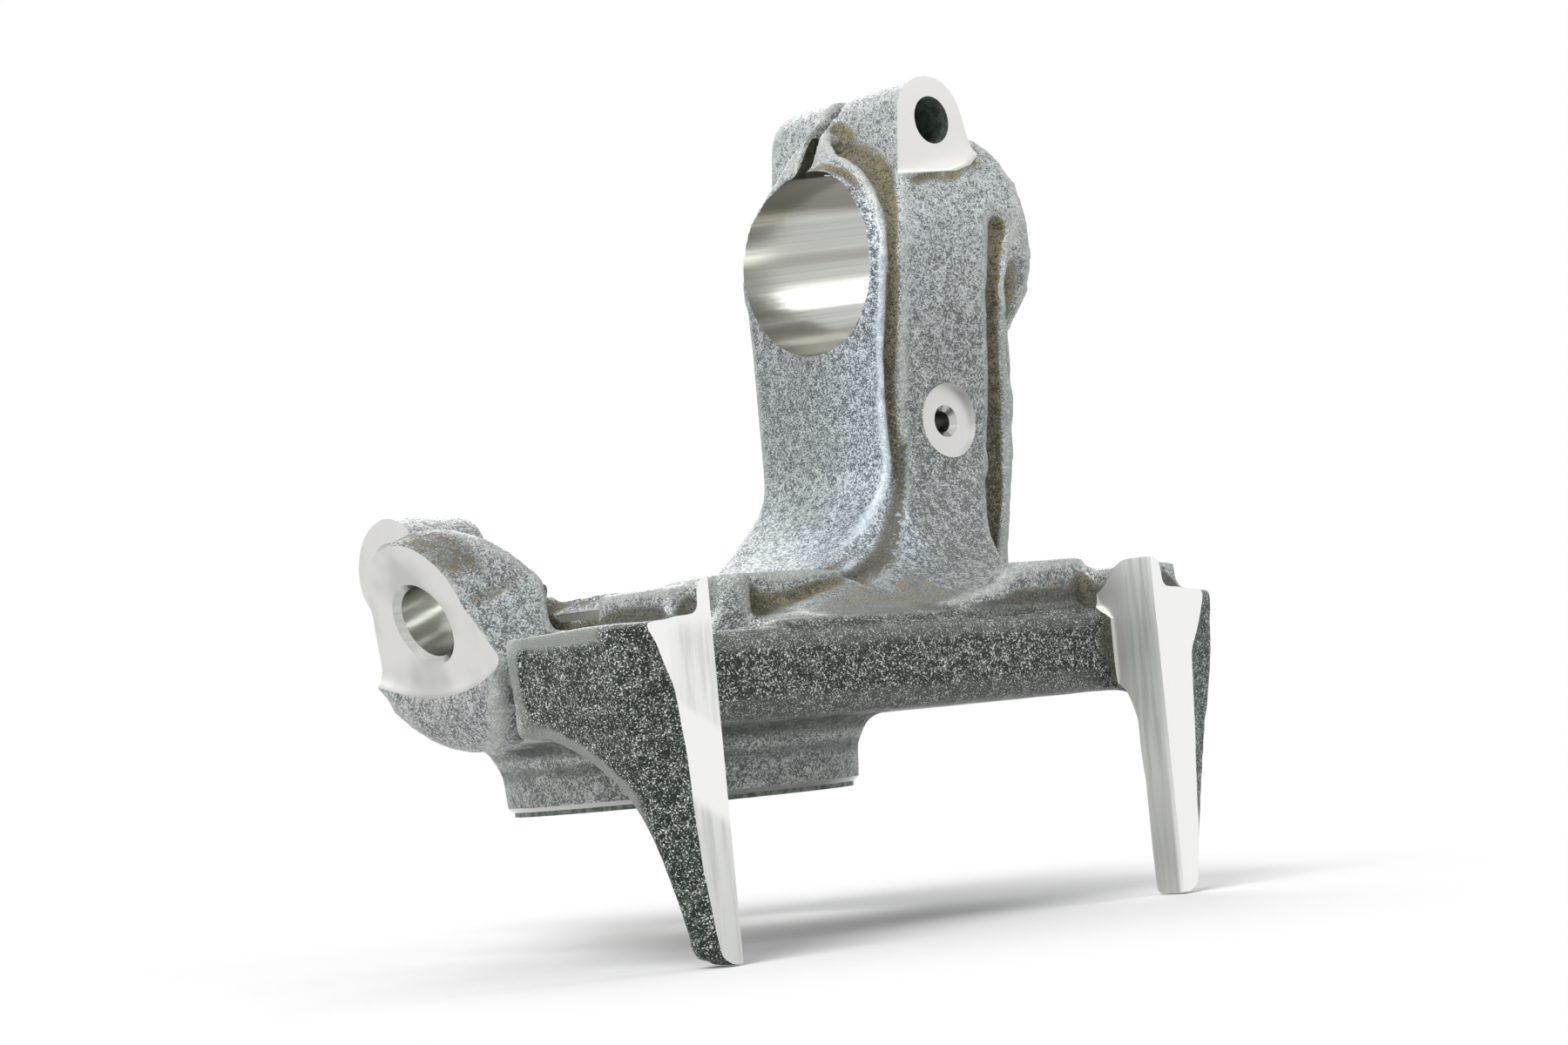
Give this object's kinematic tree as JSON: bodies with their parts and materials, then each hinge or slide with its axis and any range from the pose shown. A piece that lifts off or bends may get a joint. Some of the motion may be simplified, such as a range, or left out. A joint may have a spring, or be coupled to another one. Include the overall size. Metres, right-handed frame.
{
  "type": "steering knuckle",
  "caption": "Cast steering knuckle with hub bore, split strut clamp, ball joint lug, steering arm and integral brake carrier arms.",
  "frame": {"origin": "on the wheel axis, at the outboard shoulder of the hub barrel", "axes": "+Z along the wheel axis towards the inboard side, +X towards the strut clamp, -Y towards the brake pads, +Y towards the steering arm"},
  "size_m": [0.2194, 0.2013, 0.224],
  "materials": {
    "cast_iron": "sand-cast skin with bright machined faces"
  },
  "bodies": {
    "root": {"knuckle_casting": "cast_iron"}
  },
  "joints": []
}
